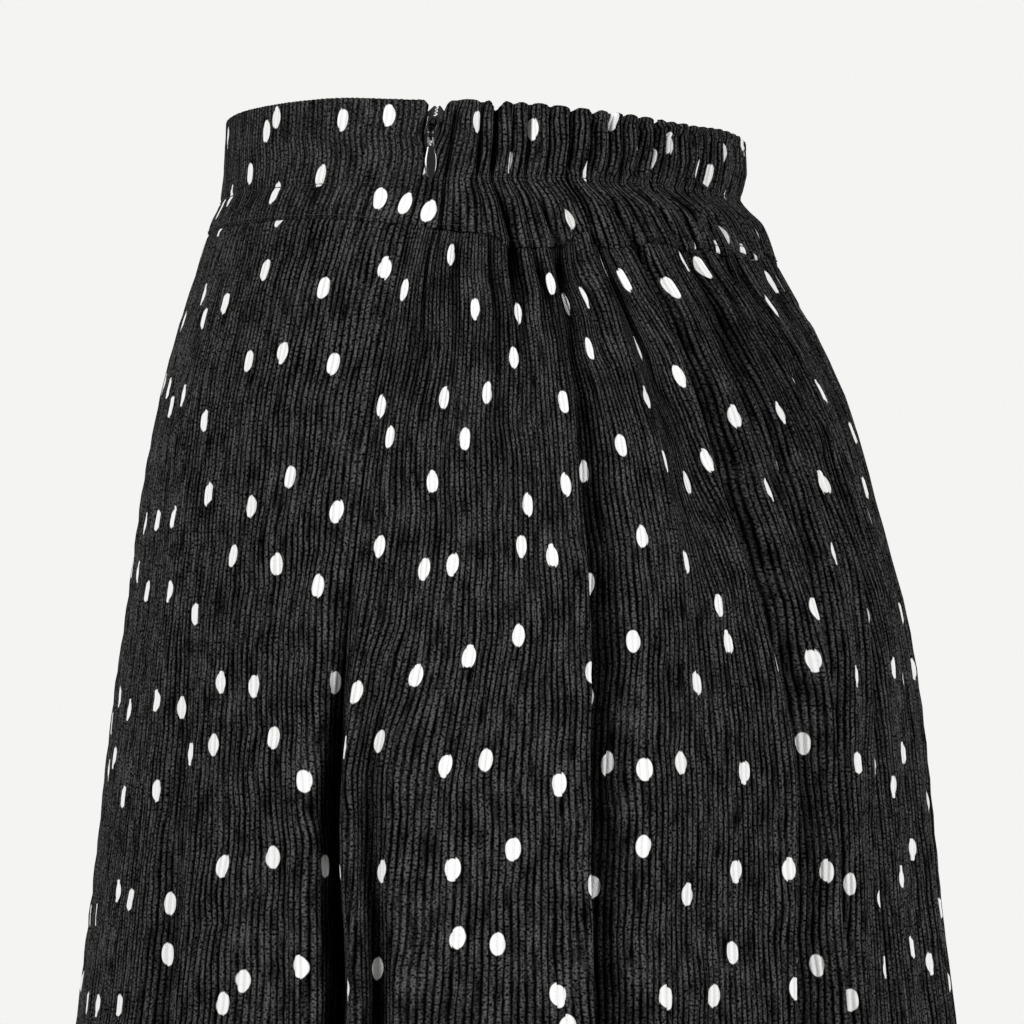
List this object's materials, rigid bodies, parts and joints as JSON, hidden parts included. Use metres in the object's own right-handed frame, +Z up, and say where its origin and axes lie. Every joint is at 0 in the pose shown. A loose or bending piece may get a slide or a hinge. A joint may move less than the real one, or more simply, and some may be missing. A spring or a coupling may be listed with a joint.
{
  "type": "pleated midi skirt",
  "caption": "Worn, hollow midi skirt of crinkle-pleated cloth with a flat front yoke, gathered elastic back yoke, deep back folds and a concealed side zip with a hanging pull.",
  "frame": {"origin": "middle of the waist, halfway up the elastic casing, where the wearer holds the skirt", "axes": "+Z up, -Y to the front of the skirt, +X to the wearer's left, where the zip is"},
  "size_m": [0.5706, 0.4282, 0.783],
  "materials": {
    "crinkle_cloth": "black crinkle-pleated cloth with scattered small white oval dots",
    "zip_tape": "black woven tape with a nylon coil",
    "black_metal": "glossy black"
  },
  "bodies": {
    "skirt": {"yoke_front": "crinkle_cloth", "yoke_back": "crinkle_cloth", "skirt_front": "crinkle_cloth", "skirt_back": "crinkle_cloth", "zip_tape_front": "zip_tape", "zip_tape_back": "zip_tape", "zip_slider": "black_metal"},
    "pull": {"zip_pull": "black_metal"}
  },
  "joints": [
    {"name": "pull_swing", "type": "hinge", "parent": "skirt", "child": "pull", "pos_m": [0.12484, 0.01218, 0.0032], "axis": [0.1646, -0.9864, 0], "range_deg": [0, 150]}
  ]
}
